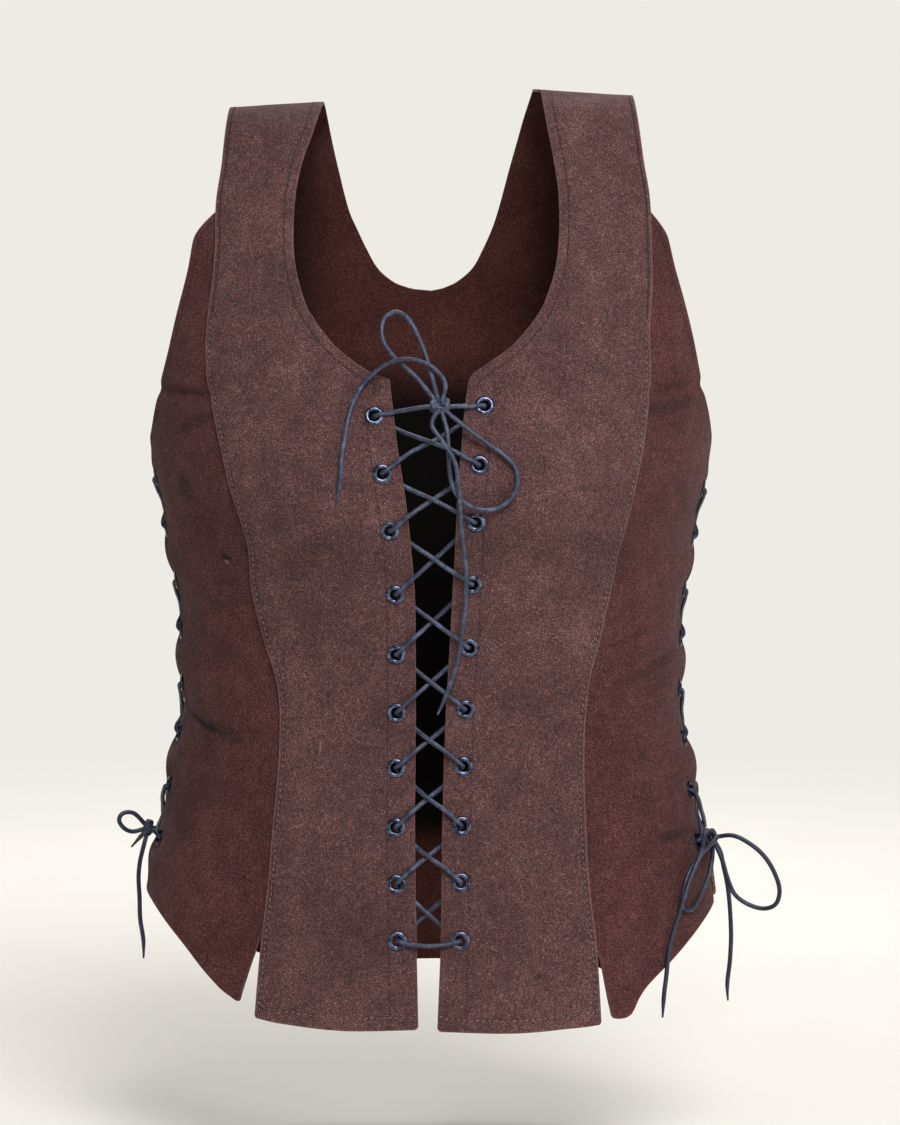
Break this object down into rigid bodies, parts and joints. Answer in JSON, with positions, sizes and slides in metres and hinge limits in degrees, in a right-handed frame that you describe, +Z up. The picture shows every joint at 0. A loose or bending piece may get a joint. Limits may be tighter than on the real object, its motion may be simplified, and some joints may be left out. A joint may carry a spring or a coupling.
{
  "type": "medieval bodice",
  "caption": "Sleeveless suede leather bodice in its worn, hollow form, laced at the centre front and down both sides, with wide shoulder straps, a deep neckline and a tabbed hem.",
  "frame": {"origin": "midway between the two shoulder straps, level with their tops, in the plane of the side lacings: where the wearer's shoulders hold the garment up", "axes": "+Z up, -Y to the laced front, +X to the wearer's left"},
  "size_m": [0.4042, 0.2362, 0.5569],
  "materials": {
    "leather_front": "napped suede, reddish dark brown, fine mottled nap",
    "leather_side": "napped suede, deeper red brown",
    "leather_back": "napped suede, dark red brown",
    "eyelet": "dark gunmetal with a bluish sheen, semi-gloss",
    "lace": "round blue-black leather lace, satin"
  },
  "bodies": {
    "root": {"front_centre_right": "leather_front", "front_centre_left": "leather_front", "front_side_right": "leather_side", "front_side_left": "leather_side", "back_side_right": "leather_side", "back_side_left": "leather_side", "back_centre": "leather_back", "front_eyelet_right_1": "eyelet", "front_eyelet_right_2": "eyelet", "front_eyelet_right_3": "eyelet", "front_eyelet_right_4": "eyelet", "front_eyelet_right_5": "eyelet", "front_eyelet_right_6": "eyelet", "front_eyelet_right_7": "eyelet", "front_eyelet_right_8": "eyelet", "front_eyelet_right_9": "eyelet", "front_eyelet_right_10": "eyelet", "front_eyelet_left_1": "eyelet", "front_eyelet_left_2": "eyelet", "front_eyelet_left_3": "eyelet", "front_eyelet_left_4": "eyelet", "front_eyelet_left_5": "eyelet", "front_eyelet_left_6": "eyelet", "front_eyelet_left_7": "eyelet", "front_eyelet_left_8": "eyelet", "front_eyelet_left_9": "eyelet", "front_eyelet_left_10": "eyelet", "front_lacing": "lace", "front_knot": "lace", "front_loop_right": "lace", "front_loop_left": "lace", "front_tail_right": "lace", "front_tail_left": "lace", "side_lacing_right": "lace", "side_knot_right": "lace", "side_loop_right": "lace", "side_stub_right": "lace", "side_tail_right": "lace", "side_lacing_left": "lace", "side_knot_left": "lace", "side_loop_left": "lace", "side_loop_small_left": "lace", "side_tail_front_left": "lace", "side_tail_back_left": "lace"}
  },
  "joints": []
}
